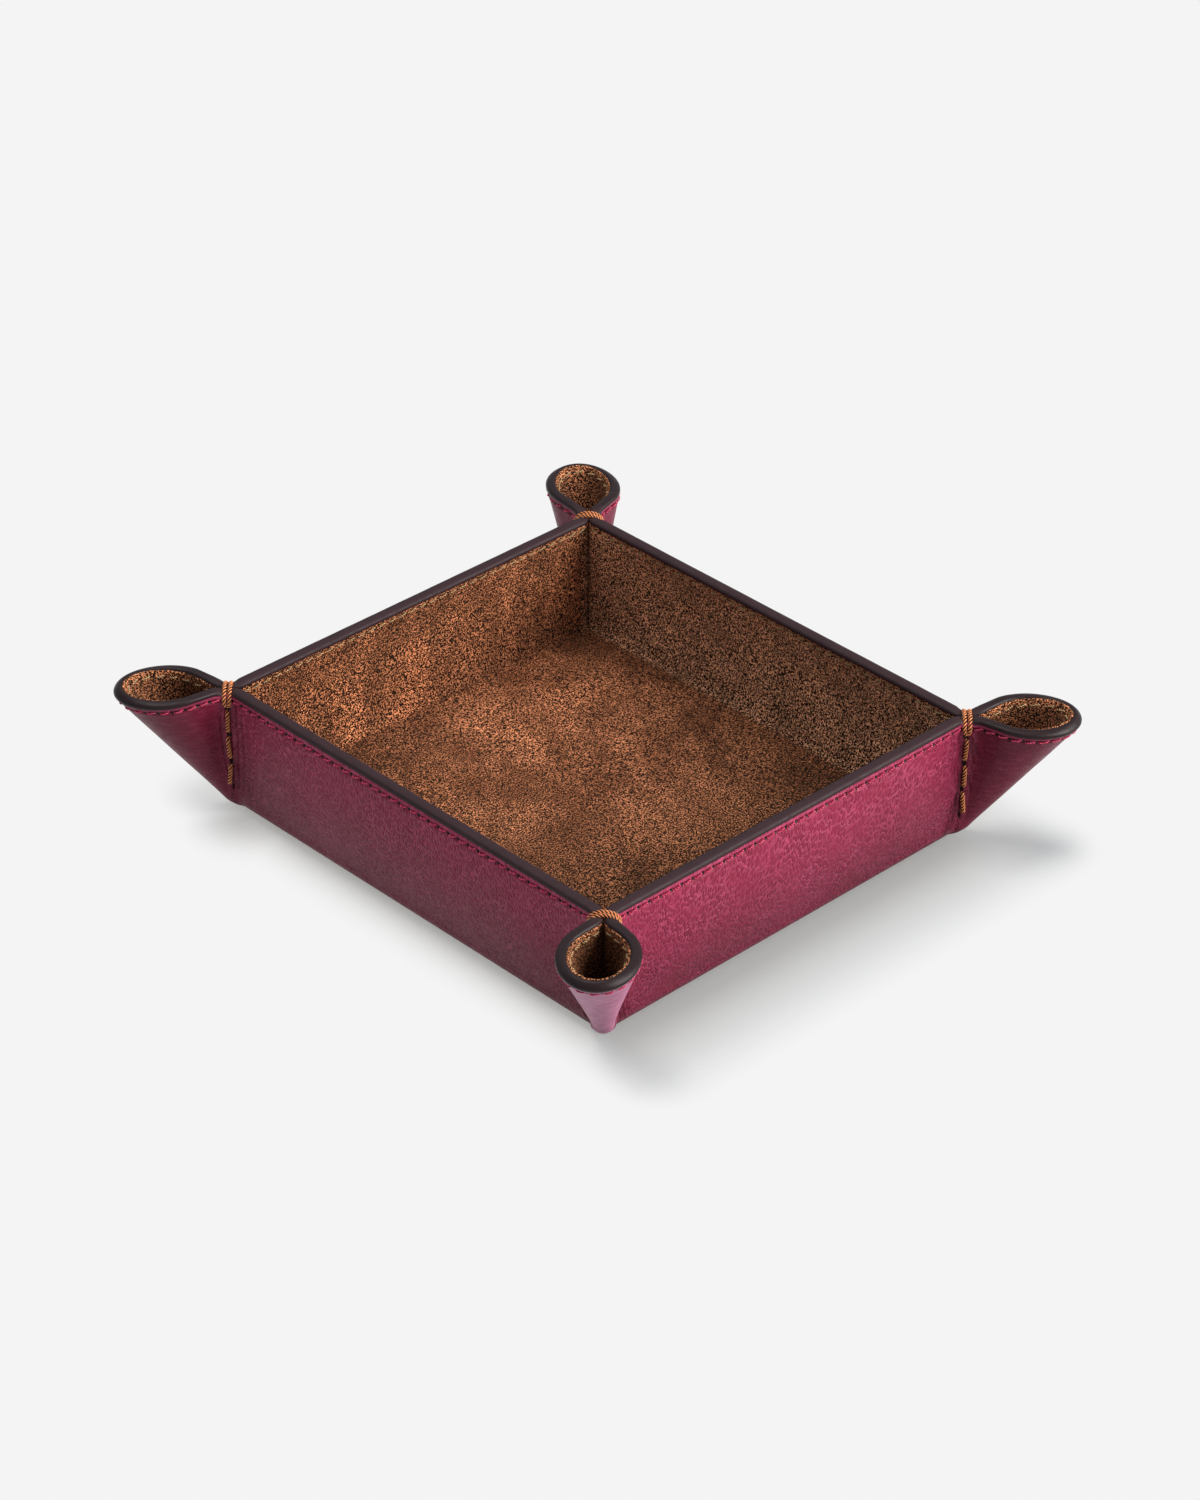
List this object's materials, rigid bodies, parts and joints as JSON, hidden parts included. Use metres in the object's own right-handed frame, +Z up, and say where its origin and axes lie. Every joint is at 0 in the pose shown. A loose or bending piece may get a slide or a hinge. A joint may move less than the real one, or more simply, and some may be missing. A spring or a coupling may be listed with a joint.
{
  "type": "tidy tray",
  "caption": "Open tray folded from leather lined with suede, its corners pinched and sewn into small open ears, with a painted edge.",
  "frame": {"origin": "centre of the flat underside, on the surface that the tray stands on", "axes": "+Z up; X along the tray's shorter walls and Y along its longer walls; the front corner points to -X and -Y"},
  "size_m": [0.1975, 0.2099, 0.0422],
  "materials": {
    "outer_leather": "pebbled raspberry leather with a soft sheen",
    "interlining": "plain stiff bonded fibre, hidden inside",
    "suede": "brown suede with a brushed, mottled nap",
    "edge_paint": "dark brown satin edge paint, rounded",
    "needle_thread": "raspberry polyester machine thread",
    "bobbin_thread": "tan polyester machine thread",
    "corner_thread": "brown waxed braided thread"
  },
  "bodies": {
    "root": {"outer_leather": "outer_leather", "interlining": "interlining", "suede_lining": "suede", "edge_paint": "edge_paint", "needle_thread": "needle_thread", "bobbin_thread": "bobbin_thread", "corner_thread_front": "corner_thread", "corner_thread_right": "corner_thread", "corner_thread_back": "corner_thread", "corner_thread_left": "corner_thread"}
  },
  "joints": []
}
